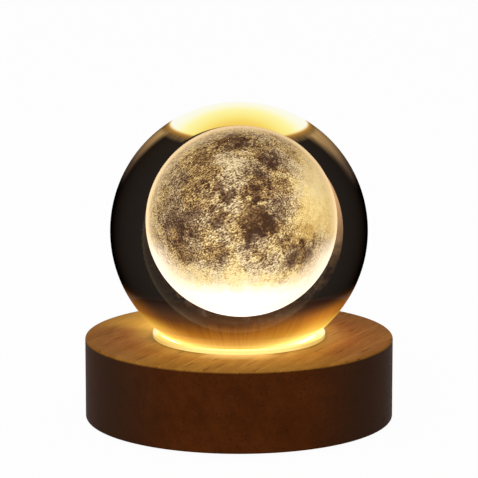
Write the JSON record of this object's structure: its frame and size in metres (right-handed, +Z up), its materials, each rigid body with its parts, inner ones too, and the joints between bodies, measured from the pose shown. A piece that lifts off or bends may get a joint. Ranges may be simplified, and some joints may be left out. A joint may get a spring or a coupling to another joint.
{
  "type": "crystal ball lamp",
  "caption": "Glass ball with an engraved moon, standing in a lit ring on a round wooden base with a power jack and a push button at the back.",
  "frame": {"origin": "centre of the round base, on the surface that the lamp stands on", "axes": "+Z up through the middle of the ball, -Y to the front, +Y to the back with the jack and the button"},
  "size_m": [0.072, 0.072, 0.075],
  "materials": {
    "ball_glass": "polished",
    "engraved_glass": "frosted cracks",
    "clear_silicone": "smooth",
    "clear_acrylic": "polished",
    "milky_acrylic": "satin",
    "white_plastic": "matt",
    "white_board": "lacquered",
    "lamp_white": "matt",
    "lamp_yellow": "smooth",
    "black_component": "matt",
    "green_board": "lacquered",
    "zinc_steel": "zinc plated",
    "turned_wood": "oiled",
    "black_plastic": "fine texture",
    "grey_plastic": "matt",
    "plated_brass": "bright",
    "tinned_metal": "tinned",
    "spring_steel": "bright drawn",
    "red_insulation": "satin",
    "black_insulation": "satin",
    "solder": "bright",
    "black_rubber": "matt"
  },
  "bodies": {
    "base": {"light_ring": "clear_acrylic", "diffuser": "milky_acrylic", "lamp_cup": "white_plastic", "lamp_board": "white_board", "lamp_frames": "lamp_white", "lamp_windows": "lamp_yellow", "lamp_resistors": "black_component", "lamp_board_screws": "zinc_steel", "wooden_base": "turned_wood", "driver_board": "green_board", "driver_components": "black_component", "driver_screws": "zinc_steel", "jack_body": "black_plastic", "jack_pin": "plated_brass", "jack_terminals": "tinned_metal", "jack_liner": "black_plastic", "switch_body": "grey_plastic", "switch_terminals": "tinned_metal", "switch_spring": "spring_steel", "button_liner": "black_plastic", "wire_red": "red_insulation", "wire_black": "black_insulation", "solder_joints": "solder", "bottom_cover": "black_plastic", "cover_screws": "zinc_steel", "feet": "black_rubber"},
    "seat": {"seat_ring": "clear_silicone"},
    "ball": {"crystal_ball": "ball_glass", "moon_engraving": "engraved_glass"},
    "button": {"push_button": "black_plastic"}
  },
  "joints": [
    {"name": "ball_turn", "type": "hinge", "parent": "base", "child": "seat", "pos_m": [0, 0, 0.0194], "axis": [0, 0, 1], "continuous": true},
    {"name": "ball_lift", "type": "slide", "parent": "seat", "child": "ball", "axis": [0, 0, 1], "range_m": [0, 0.04]},
    {"name": "button_press", "type": "slide", "parent": "base", "child": "button", "axis": [0, -1, 0], "range_m": [0, 0.0015], "stiffness_N_per_m": 150, "springref_m": -0.0015, "deforming": ["switch_spring"]}
  ]
}
